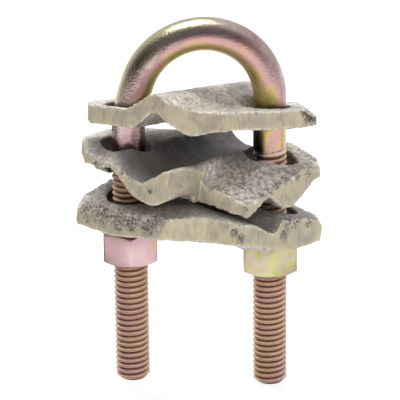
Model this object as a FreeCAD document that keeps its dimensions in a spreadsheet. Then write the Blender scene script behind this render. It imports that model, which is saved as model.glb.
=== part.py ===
import FreeCAD, Part
import Sketcher
import math
import os

# Cross connector for two bare conductors that cross at a right angle.
# Three cast saddle plates hang on one threaded U-bolt: the upper conductor lies
# between the top and the middle plate, the lower one between the middle and the
# bottom plate, and two plain hexagon nuts close the stack from below.
#
# Frame, in millimetres: X runs from leg to leg, Y away from the viewer, Z along
# the legs with the bend up. The origin is the middle of the upper conductor
# where it lies in the middle plate. Every plate is cocked on the legs, as found.

os.makedirs("parts", exist_ok=True)
doc = FreeCAD.newDocument("CrossConnector")

# Driving sizes, one row each: name, value, what it is
SIZES = [
    ("leg_half", 18.9, "each leg from the middle"),
    ("bend_shift", 0.9, "centre of the bend to the right of the middle"),
    ("bend_height", 8.73, "height of the centre of the bend"),
    ("shoulder_radius", 44.4, "slower bend that leads into the left leg"),
    ("rod_radius", 4.43, "plain rod"),
    ("thread_radius", 4.62, "over the crests of the rolled 3/8 in - 16 thread"),
    ("thread_pitch", 1.5875, "sixteen threads to the inch"),
    ("left_leg_end", -69.4, "height of the left leg's end"),
    ("right_leg_end", -73.2, "height of the right leg's end"),
    ("left_thread_start", -5.2, "height where the left thread begins"),
    ("right_thread_start", -6.2, "height where the right thread begins"),
    ("leg_end_chamfer", 1.0, "chamfer on both leg ends"),
    ("nut_flats", 14.29, "across flats, 9/16 in"),
    ("nut_height", 8.33, "21/64 in"),
    ("nut_clearance", 0.04, "between the nut's bore and the thread crests"),
    ("nut_chamfer_angle", 30.0, "chamfer of the nut's corners"),
    ("nut_seat_gap", 0.035, "between a nut and the bottom plate where they meet"),
    ("left_nut_turn", -96.7, "direction of one corner of the left nut, degrees"),
    ("right_nut_turn", -95.5, "direction of one corner of the right nut, degrees"),
    ("run_turn", 45.0, "angle of each conductor to the plane of the U-bolt, degrees"),
    ("hole_spread", 0.15, "holes of the two lower plates further out than the legs"),
    ("blank_half", 30.0, "every plate before its edges are trimmed, half its side"),
    # top plate
    ("top_seat_x", 1.0, "middle of the top plate"),
    ("top_seat_z", 7.3, "height of its flat upper side at the middle"),
    ("top_lean", 3.55, "right side down, degrees"),
    ("top_pitch", -9.65, "back down, degrees"),
    ("top_thick", 4.8, "wall of its lugs"),
    ("top_play", 1.98, "its two cored holes around the thread crests"),
    ("top_left_spread", 0.4, "its left hole further out than the leg"),
    ("top_right_spread", 1.9, "its right hole further in than the leg"),
    ("top_ridge_half", 8.0, "foot of the ridge from the middle"),
    ("top_ridge_high", 4.6, "ridge above the lugs"),
    ("top_crest_half", 1.3, "flat on the ridge before rounding"),
    ("top_crest_round", 2.6, "rounding of the crest"),
    ("top_foot_round", 4.0, "hollow at the foot of the ridge"),
    ("top_notch_half", 8.5, "groove below the ridge, half width at its foot"),
    ("top_notch_foot", 7.0, "foot of that groove below the lugs' upper side"),
    ("top_notch_top", 0.5, "apex of that groove above the lugs' upper side"),
    ("top_notch_round", 2.2, "rounding of that groove"),
    ("top_end_x", 30.1, "outline: left end"),
    ("top_end_y", 2.6, "outline: left end"),
    ("top_front_x", 11.9, "outline: front end of the ridge"),
    ("top_front_y", 17.2, "outline: front end of the ridge"),
    ("top_dip_x", 2.7, "outline: shallow notch in the front edge"),
    ("top_dip_y", 14.6, "outline: shallow notch in the front edge"),
    ("top_bulge_x", 3.3, "outline: front edge right of the notch"),
    ("top_bulge_y", 16.6, "outline: front edge right of the notch"),
    ("top_side_x", 22.3, "outline: shoulder of the right lug"),
    ("top_side_y", 10.6, "outline: shoulder of the right lug"),
    ("top_tip_x", 30.1, "outline: right tip"),
    ("top_tip_y", 3.8, "outline: right tip"),
    # middle plate
    ("mid_lean", 7.3, "right side down, degrees"),
    ("mid_reach", 26.0, "half width of the plate before trimming"),
    ("mid_play", 2.18, "its two cored holes around the thread crests"),
    ("mid_trough_radius", 8.5, "seat of the upper conductor"),
    ("mid_trough_axis", 4.3, "axis of that seat above the lugs"),
    ("mid_trough_round", 2.6, "rounding of the lips of that seat"),
    ("mid_flat_half", 13.0, "flat top, half width"),
    ("mid_fall", 4.5, "fall of the right lug beyond the flat"),
    ("mid_left_fall", 1.0, "fall of the left lug beyond the flat"),
    ("mid_arm_round", 9.0, "rounding where the lugs start to fall"),
    ("mid_back_from", 1.0, "slope behind the left lug: side next to the seat"),
    ("mid_back_start", 14.0, "slope behind the left lug: its start"),
    ("mid_back_end", 28.0, "slope behind the left lug: its end"),
    ("mid_back_low", 8.4, "slope behind the left lug: its end below the lug"),
    ("mid_lug_low", 5.3, "underside of the lugs"),
    ("mid_belly_shift", 4.0, "belly under the seat: how far it wanders to each end"),
    ("mid_belly_long", 12.9, "belly: foot of the long flank"),
    ("mid_belly_short", 8.6, "belly: foot of the short flank"),
    ("mid_keel_long", 4.8, "keel of the belly: edge of the long flank"),
    ("mid_keel_short", 3.0, "keel of the belly: edge of the short flank"),
    ("mid_keel_low", 9.8, "keel: those edges below the lugs"),
    ("mid_belly_low", 10.4, "lowest line of the belly"),
    ("mid_foot_front", 12.0, "foot of the arm from the middle"),
    ("mid_foot_front_low", 10.8, "foot of the arm below the lugs' upper side"),
    ("mid_foot_side", 10.5, "foot under the lug from the middle"),
    ("mid_foot_side_low", 11.9, "foot under the lug below the lugs' upper side"),
    ("mid_slant_reach", 19.4, "where the underside has risen to the lug's edge"),
    ("mid_slant_low", 3.8, "the underside there"),
    ("mid_foot_root", 2.0, "root of the feet inside the plate"),
    ("arm_start", 9.2, "sloped arm: begins beside the seat"),
    ("arm_near", 14.5, "sloped arm: foot of the steep start"),
    ("arm_far", 30.0, "sloped arm: last section"),
    ("arm_side", 12.0, "sloped arm: begins in the lug"),
    ("arm_front", 30.0, "sloped arm: measured at the front"),
    ("arm_start_high", 1.0, "sloped arm: height beside the seat, at the lug"),
    ("arm_start_low", 5.0, "sloped arm: depth beside the seat, at the front"),
    ("arm_near_high", 0.5, "sloped arm: depth at the foot of the start, at the lug"),
    ("arm_near_low", 11.7, "sloped arm: depth at the foot of the start, at the front"),
    ("arm_far_high", 5.5, "sloped arm: depth far out, at the lug"),
    ("arm_far_low", 11.6, "sloped arm: depth far out, at the front"),
    ("mid_mouth_front", 26.0, "mouth of the seat, front section"),
    ("mid_mouth_back", 12.0, "mouth of the seat, section where it starts"),
    ("mid_mouth_far", 26.0, "mouth: outer point over the left lug"),
    ("mid_mouth_far_low", 1.4, "mouth: depth there, at the front"),
    ("mid_mouth_far_high", 4.6, "mouth: height there, where it starts"),
    ("mid_mouth_side", 8.5, "mouth: point on the lip of the seat"),
    ("mid_mouth_side_low", 4.8, "mouth: depth there, at the front"),
    ("mid_mouth_side_high", 1.2, "mouth: height there, where it starts"),
    ("mid_mouth_foot", 3.5, "mouth: point in the seat"),
    ("mid_mouth_foot_low", 5.8, "mouth: depth there, at the front"),
    ("mid_mouth_foot_deep", 3.4, "mouth: depth there, where it starts"),
    ("mid_mouth_toe", 1.5, "mouth: point past the bottom of the seat"),
    ("mid_mouth_toe_low", 5.4, "mouth: depth there, at the front"),
    ("mid_mouth_toe_deep", 4.0, "mouth: depth there, where it starts"),
    ("mid_mouth_end", 6.5, "mouth: last point"),
    ("mid_mouth_end_deep", 1.0, "mouth: depth there"),
    ("mid_groove_shift", 0.5, "apex of the lower groove off the middle"),
    ("mid_groove_long", 14.0, "lower groove: foot of the long flank"),
    ("mid_groove_short", 8.4, "lower groove: foot of the steep flank"),
    ("mid_groove_foot", 13.0, "feet of the lower groove below the lugs' upper side"),
    ("mid_groove_top", 7.1, "apex of the lower groove below the lugs' upper side"),
    ("mid_groove_round", 2.0, "rounding of that apex"),
    ("mid_end_x", 31.3, "outline: end of the lugs"),
    ("mid_end_y", 3.3, "outline: end of the lugs"),
    ("mid_left_x", 30.2, "outline: left end of the left lug"),
    ("mid_left_y", 4.4, "outline: its front corner"),
    ("mid_back_y", 4.8, "outline: its back corner"),
    ("mid_nose_x", 9.0, "outline: front end of the seat"),
    ("mid_nose_y", 25.7, "outline: front end of the seat"),
    ("mid_dip_x", 0.3, "outline: notch between the arms"),
    ("mid_dip_y", 13.2, "outline: notch between the arms"),
    ("mid_foot_x", 10.9, "outline: front end of the lower groove"),
    ("mid_foot_y", 24.2, "outline: front end of the lower groove"),
    # bottom plate
    ("low_seat_x", -0.4, "middle of the bottom plate"),
    ("low_seat_z", -28.16, "height of its underside at the middle"),
    ("low_lean", 7.9, "right side down, degrees"),
    ("low_play", 2.18, "its two cored holes around the thread crests"),
    ("low_crown", 10.0, "where the upper side bends, from the middle"),
    ("low_crown_high", 11.4, "upper side on the crown, raised end"),
    ("low_crown_low", 8.8, "upper side on the crown, lower end"),
    ("low_rim_high", 13.0, "upper side at the blank's edge, raised end"),
    ("low_rim_low", 3.6, "upper side at the blank's edge, lower end"),
    ("low_groove_shift", 0.4, "bottom of the seat off the middle"),
    ("low_groove_low", 6.3, "bottom of the seat above the underside"),
    ("low_groove_long", 20.6, "seat: top of the long flank"),
    ("low_groove_short", 6.7, "seat: top of the steep flank"),
    ("low_groove_top", 16.0, "height where those tops are measured"),
    ("low_groove_round", 2.5, "rounding of the bottom of the seat"),
    ("low_pad_half", 9.0, "flat strip of the underside, half width"),
    ("low_rise", 6.3, "rise of the underside at the front and the back"),
    ("low_rise_reach", 28.0, "where that rise is measured"),
    ("low_bevel_foot", 25.2, "bevel along the long edges: foot from the middle"),
    ("low_bevel_foot_z", 2.6, "bevel: height of its foot"),
    ("low_bevel_top", 22.6, "bevel: top from the middle"),
    ("low_bevel_top_z", 9.5, "bevel: height of its top"),
    ("low_tip_top", 30.2, "bevel of both ends: top from the middle"),
    ("low_tip_top_z", 8.6, "bevel of both ends: height of its top"),
    ("low_tip_foot", 34.2, "bevel of both ends: foot from the middle"),
    ("low_tip_foot_z", 2.4, "bevel of both ends: height of its foot"),
    ("low_end_x", 33.2, "outline: end of the lugs"),
    ("low_end_y", 1.6, "outline: end of the lugs"),
    ("low_nose_x", 14.5, "outline: front left corner"),
    ("low_nose_y", 20.3, "outline: front left corner"),
    ("low_dip_x", 1.5, "outline: front edge at the middle"),
    ("low_dip_y", 19.4, "outline: front edge at the middle"),
    ("low_foot_x", 7.8, "outline: front right corner"),
    ("low_foot_y", 26.2, "outline: front right corner"),
    ("trim_margin", 60.0, "outside of every trimming sketch"),
]

sheet = doc.addObject("Spreadsheet::Sheet", "Dimensions")
for row, (name, value, meaning) in enumerate(SIZES, start=1):
    sheet.set("A%d" % row, name)
    sheet.set("B%d" % row, str(value))
    sheet.set("C%d" % row, meaning)
    sheet.setAlias("B%d" % row, name)
doc.recompute()

NAMES = [name for name, value, meaning in SIZES]
X_AXIS, Y_AXIS = range(-1, -3, -1)
ORIGIN = (X_AXIS, 1)
SIDEWAYS = FreeCAD.Vector(0, 1, 0)


def size(text):
    """Value of a sum of sheet cells and numbers, written with spaces."""
    total, sign = 0.0, 1.0
    for word in text.split():
        if word in "+-":
            sign = -1.0 if word == "-" else 1.0
        else:
            total += sign * float(sheet.get(word) if word in NAMES else word)
    return total


def cell(text):
    """The same sum as an expression."""
    return " ".join("Dimensions." + word if word in NAMES else word for word in text.split())


def new_body(name, label):
    body = doc.addObject("PartDesign::Body", name)
    body.Label = label
    return body


def new_sketch(body, name, role, turn=0.0, lift=""):
    """Sketch on one of the body's own origin planes, turned about the upright and
    then lifted off that plane by a sum of sheet sizes."""
    plane = next(f for f in body.Origin.OriginFeatures if f.Role == role)
    sketch = body.newObject("Sketcher::SketchObject", name)
    sketch.AttachmentSupport = [(plane, "")]
    sketch.MapMode = "FlatFace"
    turned = FreeCAD.Rotation(SIDEWAYS, turn)
    normal = turned.multVec(FreeCAD.Vector(0, 0, 1))
    sketch.AttachmentOffset = FreeCAD.Placement(normal * size(lift), turned)
    if lift:
        for axis in "xz":
            share = round(getattr(normal, axis), 9)
            sketch.setExpression("AttachmentOffset.Base." + axis,
                                 "(%s) * %s" % (cell(lift), share))
    return sketch


def bind(sketch, constraint, expression):
    """Add a constraint and drive it from the sheet."""
    index = sketch.addConstraint(constraint)
    name = "size%d" % index
    sketch.renameConstraint(index, name)
    sketch.setExpression("Constraints." + name, expression)


def closed_lines(sketch, points):
    """Closed run of straight sides; returns the number of its first side."""
    first = sketch.GeometryCount
    count = len(points)
    for i, (ax, ay) in enumerate(points):
        bx, by = points[(i + 1) % count]
        line = Part.LineSegment(FreeCAD.Vector(ax, ay, 0), FreeCAD.Vector(bx, by, 0))
        sketch.addGeometry(line, False)
    for i in range(count):
        after = (i + 1) % count
        sketch.addConstraint(Sketcher.Constraint("Coincident", first + i, 2, first + after, 1))
    return first


def hold_point(sketch, side, end, across, up):
    """Hold one end of a side at two sheet sizes from the origin, or on an axis."""
    for kind, axis, text in (("DistanceX", Y_AXIS, across), ("DistanceY", X_AXIS, up)):
        if text == "0":
            sketch.addConstraint(Sketcher.Constraint("PointOnObject", side, end, axis))
        else:
            bind(sketch, Sketcher.Constraint(kind, *ORIGIN, side, end, size(text)), cell(text))


def free_outline(sketch, corners):
    """Outline with every corner held."""
    points = [(size(across), size(up)) for across, up in corners]
    first = closed_lines(sketch, points)
    for i, (across, up) in enumerate(corners):
        hold_point(sketch, first + i, 1, across, up)


def mirrored_section(sketch, right_side):
    """Section that is the same left and right of the upright axis."""
    right = [(size(across), size(up)) for across, up in right_side]
    left = [(-x, y) for x, y in reversed(right)]
    first = closed_lines(sketch, right + left)
    last = first + len(right + left) - 1
    for i, (across, up) in enumerate(right_side):
        hold_point(sketch, first + i, 1, across, up)
        sketch.addConstraint(Sketcher.Constraint("Symmetric", first + i, 1, last - i, 1, Y_AXIS))


def half_turn_outline(sketch, half):
    """Outline that comes back on itself after half a turn about the origin."""
    points = [(size(across), size(up)) for across, up in half]
    first = closed_lines(sketch, points + [(-x, -y) for x, y in points])
    for i, (across, up) in enumerate(half):
        hold_point(sketch, first + i, 1, across, up)
        opposite = first + len(half) + i
        sketch.addConstraint(Sketcher.Constraint("Symmetric", first + i, 1, opposite, 1, *ORIGIN))


def held_circle(sketch, across, up, radius):
    """Circle with its centre and its radius held by the sheet."""
    centre = FreeCAD.Vector(size(across), size(up), 0)
    circle = Part.Circle(centre, FreeCAD.Vector(0, 0, 1), size(radius))
    index = sketch.addGeometry(circle, False)
    hold_point(sketch, index, 3, across, up)
    bind(sketch, Sketcher.Constraint("Radius", index, size(radius)), cell(radius))


def symmetric_pad(body, name, sketch, length_expression):
    pad = body.newObject("PartDesign::Pad", name)
    pad.Profile = sketch
    pad.SideType = "Symmetric"
    pad.setExpression("Length", length_expression)
    return pad


def through_pocket(body, name, sketch):
    """Cut right through, both ways from the sketch."""
    before = body.Shape.Volume
    pocket = body.newObject("PartDesign::Pocket", name)
    pocket.Profile = sketch
    pocket.SideType = "Symmetric"
    pocket.Type = "ThroughAll"
    doc.recompute()
    if not body.Shape.Volume < before:
        raise RuntimeError(name + " removed nothing")
    return pocket


def edges_along(feature, direction, places, near):
    """Names of the straight edges along a direction that pass the given places."""
    names = []
    for number, edge in enumerate(feature.Shape.Edges, start=1):
        start, end = edge.Vertexes[0].Point, edge.Vertexes[-1].Point
        chord = (end - start).Length
        if chord < near or edge.Length - chord > near:
            continue
        along = (end - start).normalize()
        if abs(abs(along.dot(direction)) - 1) > near:
            continue
        for place in places:
            offset = place - start
            if (offset - direction * offset.dot(direction)).Length < near:
                names.append("Edge%d" % number)
    return names


def round_edges(body, name, edges, rounding):
    if not edges:
        raise RuntimeError(name + " found no edges")
    base = body.Tip
    fillet = body.newObject("PartDesign::Fillet", name)
    fillet.Base = (base, edges)
    fillet.setExpression("Radius", cell(rounding))
    doc.recompute()
    return fillet


def leg_holes(body, name, play, left="leg_half + hole_spread", right="leg_half + hole_spread"):
    """The two cored holes that take the legs with that much play."""
    sketch = new_sketch(body, name + "Sketch", "XY_Plane")
    held_circle(sketch, opposite(left), "0", "thread_radius + " + play)
    held_circle(sketch, right, "0", "thread_radius + " + play)
    return through_pocket(body, name, sketch)


def trim(body, name, half, rest=None):
    """Cut everything outside the plate's outline, as the casting's edges were."""
    sketch = new_sketch(body, name + "Sketch", "XY_Plane")
    free_outline(sketch, [("- trim_margin", "- trim_margin"), ("trim_margin", "- trim_margin"),
                          ("trim_margin", "trim_margin"), ("- trim_margin", "trim_margin")])
    if rest:
        free_outline(sketch, half + rest)
    else:
        half_turn_outline(sketch, half)
    return through_pocket(body, name, sketch)


def vee_groove(body, name, turn, corners, rounding):
    """Straight groove of three corners, foot, apex and foot, with a rounded apex."""
    sketch = new_sketch(body, name + "Section", "XZ_Plane", turn=turn)
    near, apex, far = [FreeCAD.Vector(size(across), size(up), 0) for across, up in corners]
    to_near, to_far = (near - apex).normalize(), (far - apex).normalize()
    half_angle = to_near.getAngle(to_far) / 2
    radius = size(rounding)
    centre = apex + (to_near + to_far).normalize() * (radius / math.sin(half_angle))
    touches = [apex + way * (radius / math.tan(half_angle)) for way in (to_near, to_far)]
    flanks = [sketch.addGeometry(Part.LineSegment(foot, touch), False)
              for foot, touch in zip((near, far), touches)]
    closing = sketch.addGeometry(Part.LineSegment(near, far), False)
    spokes = [touch - centre for touch in touches]
    angles = [math.atan2(spoke.y, spoke.x) for spoke in spokes]
    ends = (1, 2)
    if spokes[0].cross(spokes[1]).z < 0:
        angles.reverse()
        ends = (2, 1)
    circle = Part.Circle(centre, FreeCAD.Vector(0, 0, 1), radius)
    nose = sketch.addGeometry(Part.ArcOfCircle(circle, *angles), False)
    corner = sketch.addGeometry(Part.Point(apex), True)
    for flank, end, closing_end in zip(flanks, ends, (1, 2)):
        sketch.addConstraint(Sketcher.Constraint("Tangent", flank, 2, nose, end))
        sketch.addConstraint(Sketcher.Constraint("Coincident", flank, 1, closing, closing_end))
        sketch.addConstraint(Sketcher.Constraint("PointOnObject", corner, 1, flank))
    bind(sketch, Sketcher.Constraint("Radius", nose, radius), cell(rounding))
    for held, (across, up) in zip((flanks[0], corner, flanks[1]), corners):
        hold_point(sketch, held, 1, across, up)
    through_pocket(body, name, sketch)


def ruled_loft(body, kind, name, sections):
    """Straight-sided skin between two sections."""
    loft = body.newObject("PartDesign::" + kind, name)
    loft.Profile = sections[0]
    loft.Sections = sections[1:]
    loft.Ruled = True
    doc.recompute()
    return loft


def both_ways(corners):
    """The same corners after half a turn about the upright."""
    return [(opposite(across), up) for across, up in corners]


def opposite(text):
    """A sum of sheet sizes with every sign changed."""
    words = text.split()
    if words[0] not in "+-":
        words = ["+"] + words
    swapped = ["-" if word == "+" else "+" if word == "-" else word for word in words]
    return " ".join(swapped[1:] if swapped[0] == "+" else swapped)


def in_run(across, up, turn):
    """Point of a section plane that is turned about the upright."""
    angle = math.radians(turn)
    return FreeCAD.Vector(across * math.cos(angle), across * math.sin(angle), up)


def run_direction(turn):
    angle = math.radians(turn)
    return FreeCAD.Vector(-math.sin(angle), math.cos(angle), 0)


UPPER_TURN = -size("run_turn")
LOWER_TURN = size("run_turn")
UPPER_RUN = run_direction(UPPER_TURN)
LOWER_RUN = run_direction(LOWER_TURN)
NEAR = 0.01

# U-bolt: one bent rod, with both legs threaded; the right leg is the longer one
u_bolt = new_body("UBolt", "u_bolt")
path = new_sketch(u_bolt, "RodPath", "XZ_Plane")
legs, radius, crown = size("leg_half"), size("leg_half - bend_shift"), size("bend_height")
left_end, right_end = size("left_leg_end"), size("right_leg_end")
wide = size("shoulder_radius")
shoulder_x = wide - legs
across = shoulder_x - (legs - radius)
shoulder_z = crown - math.sqrt((wide - radius) ** 2 - across ** 2)
touch = math.atan2(crown - shoulder_z, -across)
left_leg = path.addGeometry(Part.LineSegment(
    FreeCAD.Vector(-legs, left_end, 0), FreeCAD.Vector(-legs, shoulder_z, 0)), False)
shoulder_circle = Part.Circle(
    FreeCAD.Vector(shoulder_x, shoulder_z, 0), FreeCAD.Vector(0, 0, 1), wide)
shoulder = path.addGeometry(Part.ArcOfCircle(shoulder_circle, touch, math.pi), False)
bend_circle = Part.Circle(
    FreeCAD.Vector(legs - radius, crown, 0), FreeCAD.Vector(0, 0, 1), radius)
bend = path.addGeometry(Part.ArcOfCircle(bend_circle, 0, touch), False)
right_leg = path.addGeometry(Part.LineSegment(
    FreeCAD.Vector(legs, crown, 0), FreeCAD.Vector(legs, right_end, 0)), False)
path.addConstraint(Sketcher.Constraint("Tangent", left_leg, 2, shoulder, 2))
path.addConstraint(Sketcher.Constraint("Tangent", shoulder, 1, bend, 2))
path.addConstraint(Sketcher.Constraint("Tangent", bend, 1, right_leg, 1))
path.addConstraint(Sketcher.Constraint("Vertical", left_leg))
path.addConstraint(Sketcher.Constraint("Vertical", right_leg))
bind(path, Sketcher.Constraint("Radius", bend, radius), cell("leg_half - bend_shift"))
bind(path, Sketcher.Constraint("Radius", shoulder, wide), cell("shoulder_radius"))
bind(path, Sketcher.Constraint("DistanceY", *ORIGIN, bend, 3, crown), cell("bend_height"))
hold_point(path, left_leg, 1, "- leg_half", "left_leg_end")
hold_point(path, right_leg, 2, "leg_half", "right_leg_end")

section = new_sketch(u_bolt, "RodSection", "XY_Plane", lift="left_leg_end")
held_circle(section, "- leg_half", "0", "rod_radius")
rod = u_bolt.newObject("PartDesign::AdditivePipe", "Rod")
rod.Profile = section
rod.Spine = (path, ["Edge1", "Edge2", "Edge3", "Edge4"])
doc.recompute()

for side, sign in (("left", -1), ("right", 1)):
    end, start = side + "_leg_end", side + "_thread_start"
    crest = new_sketch(u_bolt, side.title() + "ThreadSketch", "XY_Plane", lift=end)
    held_circle(crest, "- leg_half" if sign < 0 else "leg_half", "0", "thread_radius")
    thread = u_bolt.newObject("PartDesign::Pad", side.title() + "Thread")
    thread.Profile = crest
    thread.setExpression("Length", cell(start + " - " + end))
    doc.recompute()
    rims = []
    for number, edge in enumerate(thread.Shape.Edges, start=1):
        box = edge.BoundBox
        on_side = box.Center.x * sign > 0
        if box.ZLength < NEAR and abs(box.ZMin - size(end)) < NEAR and on_side:
            rims.append("Edge%d" % number)
    bevel = u_bolt.newObject("PartDesign::Chamfer", side.title() + "LegEnd")
    bevel.Base = (thread, rims)
    bevel.setExpression("Size", cell("leg_end_chamfer"))
    doc.recompute()

# Two plain hexagon nuts, with both rims chamfered and a corner towards the viewer
for side, sign in (("left", -1), ("right", 1)):
    nut = new_body(side.title() + "Nut", side + "_nut")
    corner_turn = side + "_nut_turn"
    # its rim meets the leaning underside of the bottom plate on the lower, right side
    leg, touch = ("- leg_half", "low_seat_x + leg_half") if sign < 0 else (
        "leg_half", "low_seat_x - leg_half")
    nut.setExpression("Placement", "create(<<placement>>; create(<<vector>>; {leg}; 0; {seat} + "
                      "({touch} - Dimensions.nut_flats / 2) * tan({lean})); "
                      "create(<<rotation>>; {turn}; 0; 0))".format(
                          leg=cell(leg), seat=cell("low_seat_z - nut_seat_gap - nut_height"),
                          touch=cell(touch), lean=cell("low_lean"), turn=cell(corner_turn)))

    hexagon = new_sketch(nut, side.title() + "NutHexagon", "XY_Plane")
    corner = size("nut_flats") / math.sqrt(3)
    corners = [(corner * math.cos(math.radians(60 * i)), corner * math.sin(math.radians(60 * i)))
               for i in range(6)]
    first = closed_lines(hexagon, corners)
    ring = hexagon.addGeometry(Part.Circle(FreeCAD.Vector(), FreeCAD.Vector(0, 0, 1), corner), True)
    hexagon.addConstraint(Sketcher.Constraint("Coincident", ring, 3, *ORIGIN))
    for i in range(6):
        hexagon.addConstraint(Sketcher.Constraint("PointOnObject", first + i, 1, ring))
    for i in range(5):
        hexagon.addConstraint(Sketcher.Constraint("Equal", first + i, first + i + 1))
    hexagon.addConstraint(Sketcher.Constraint("PointOnObject", first, 1, X_AXIS))
    bind(hexagon, Sketcher.Constraint("Distance", first, 2, first + 5, 1, size("nut_flats")),
         cell("nut_flats"))
    block = nut.newObject("PartDesign::Pad", side.title() + "NutBlock")
    block.Profile = hexagon
    block.setExpression("Length", cell("nut_height"))

    bore = new_sketch(nut, side.title() + "NutBoreSketch", "XY_Plane")
    held_circle(bore, "0", "0", "thread_radius + nut_clearance")
    doc.recompute()
    through_pocket(nut, side.title() + "NutBore", bore)

    # Chamfer: both rims turned down to a circle as wide as the flats
    rims = new_sketch(nut, side.title() + "NutRims", "XZ_Plane")
    rise = (corner - size("nut_flats") / 2) * math.tan(math.radians(size("nut_chamfer_angle")))
    deep = size("nut_height")
    inner, outer = size("nut_flats") / 2, 2 * corner
    reach = (outer - inner) * math.tan(math.radians(size("nut_chamfer_angle")))
    rim_corners = (((inner, 0), (outer, 0), (outer, reach)),
                   ((inner, deep), (outer, deep - reach), (outer, deep)))
    heights = (("0", 0.0), (cell("nut_height"), deep))
    for triangle, (expression, level) in zip(rim_corners, heights):
        first = closed_lines(rims, triangle)
        bind(rims, Sketcher.Constraint("DistanceX", *ORIGIN, first, 1, inner),
             "Dimensions.nut_flats / 2")
        bind(rims, Sketcher.Constraint("DistanceY", *ORIGIN, first, 1, level), expression)
        flat_side = first if level == 0 else first + 2
        open_corner = (first + 1, 1) if level == 0 else (first + 2, 1)
        rims.addConstraint(Sketcher.Constraint("Horizontal", flat_side))
        rims.addConstraint(Sketcher.Constraint("Vertical", first + 1))
        bind(rims, Sketcher.Constraint("DistanceX", *ORIGIN, *open_corner, outer),
             "2 * Dimensions.nut_flats / sqrt(3)")
        slope = (first + 2, 1) if level == 0 else (first + 1, 1)
        level_expression = ("(2 * Dimensions.nut_flats / sqrt(3) - Dimensions.nut_flats / 2)"
                            " * tan(Dimensions.nut_chamfer_angle)")
        if level != 0:
            level_expression = "Dimensions.nut_height - " + level_expression
        bind(rims, Sketcher.Constraint("DistanceY", *ORIGIN, *slope,
                                       reach if level == 0 else deep - reach), level_expression)
    before = nut.Shape.Volume
    turned = nut.newObject("PartDesign::Groove", side.title() + "NutChamfer")
    turned.Profile = rims
    turned.ReferenceAxis = (rims, ["V_Axis"])
    turned.Angle = 360
    doc.recompute()
    if not nut.Shape.Volume < before:
        raise RuntimeError("the rims of the nut were not turned down")

# Top plate: two flat lugs and a ridge over the upper conductor, grooved below
top = new_body("TopPlate", "top_plate")
band = new_sketch(top, "TopSection", "XZ_Plane", turn=UPPER_TURN)
mirrored_section(band, [("top_crest_half", "top_ridge_high"), ("top_ridge_half", "0"),
                        ("blank_half", "0"), ("blank_half", "- top_thick")])
symmetric_pad(top, "TopBlank", band, cell("blank_half + blank_half"))
doc.recompute()
crests = [in_run(sign * size("top_crest_half"), size("top_ridge_high"), UPPER_TURN)
          for sign in (-1, 1)]
round_edges(top, "TopCrest", edges_along(top.Tip, UPPER_RUN, crests, NEAR), "top_crest_round")
feet = [in_run(sign * size("top_ridge_half"), 0, UPPER_TURN) for sign in (-1, 1)]
round_edges(top, "TopFoot", edges_along(top.Tip, UPPER_RUN, feet, NEAR), "top_foot_round")
vee_groove(top, "TopNotch", UPPER_TURN,
           [("- top_notch_half", "- top_notch_foot"), ("0", "top_notch_top"),
            ("top_notch_half", "- top_notch_foot")], "top_notch_round")
trim(top, "TopOutline", [("- top_end_x", "- top_end_y"), ("- top_front_x", "- top_front_y"),
                         ("- top_dip_x", "- top_dip_y"), ("top_bulge_x", "- top_bulge_y"),
                         ("top_side_x", "- top_side_y"), ("top_tip_x", "- top_tip_y")])
leg_holes(top, "TopHoles", "top_play", "leg_half + top_left_spread",
          "leg_half - top_right_spread")
top.setExpression("Placement", "create(<<placement>>; create(<<vector>>; %s; 0; %s); "
                  "create(<<rotation>>; 0; %s; %s))"
                  % (cell("top_seat_x"), cell("top_seat_z"), cell("top_lean"), cell("top_pitch")))

# Middle plate: a saddle. The seat for the upper conductor runs one way, with a
# belly below it; the groove for the lower conductor crosses underneath between two
# feet, and an arm slopes down in front of the right leg and behind the left one.
middle = new_body("MiddlePlate", "middle_plate")
band = new_sketch(middle, "MiddleSection", "XZ_Plane", turn=UPPER_TURN)
free_outline(band, [("mid_flat_half", "0"), ("mid_reach", "- mid_fall"),
                    ("mid_reach", "- mid_lug_low"), ("- mid_reach", "- mid_lug_low"),
                    ("- mid_reach", "- mid_left_fall"), ("- mid_flat_half", "0")])
symmetric_pad(middle, "MiddleBlank", band, cell("mid_reach + mid_reach"))
doc.recompute()
bends = [in_run(sign * size("mid_flat_half"), 0, UPPER_TURN) for sign in (-1, 1)]
round_edges(middle, "MiddleBends", edges_along(middle.Tip, UPPER_RUN, bends, NEAR),
            "mid_arm_round")

belly = [("mid_belly_shift - mid_belly_long", "- mid_lug_low"),
         ("mid_belly_shift - mid_keel_long", "- mid_keel_low"),
         ("mid_belly_shift", "- mid_belly_low"),
         ("mid_belly_shift + mid_keel_short", "- mid_keel_low"),
         ("mid_belly_shift + mid_belly_short", "- mid_lug_low"),
         ("mid_belly_short", "- mid_foot_root"), ("- mid_belly_short", "- mid_foot_root")]
turned = both_ways(belly)
mirrored = [turned[4], turned[3], turned[2], turned[1], turned[0], belly[5], belly[6]]
skins = []
for end, lift, corners in (("Front", "mid_reach", belly), ("Back", "- mid_reach", mirrored)):
    skin = new_sketch(middle, "Belly%sSection" % end, "XZ_Plane", turn=UPPER_TURN, lift=lift)
    free_outline(skin, corners)
    skins.append(skin)
ruled_loft(middle, "AdditiveLoft", "MiddleBelly", skins)

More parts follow.
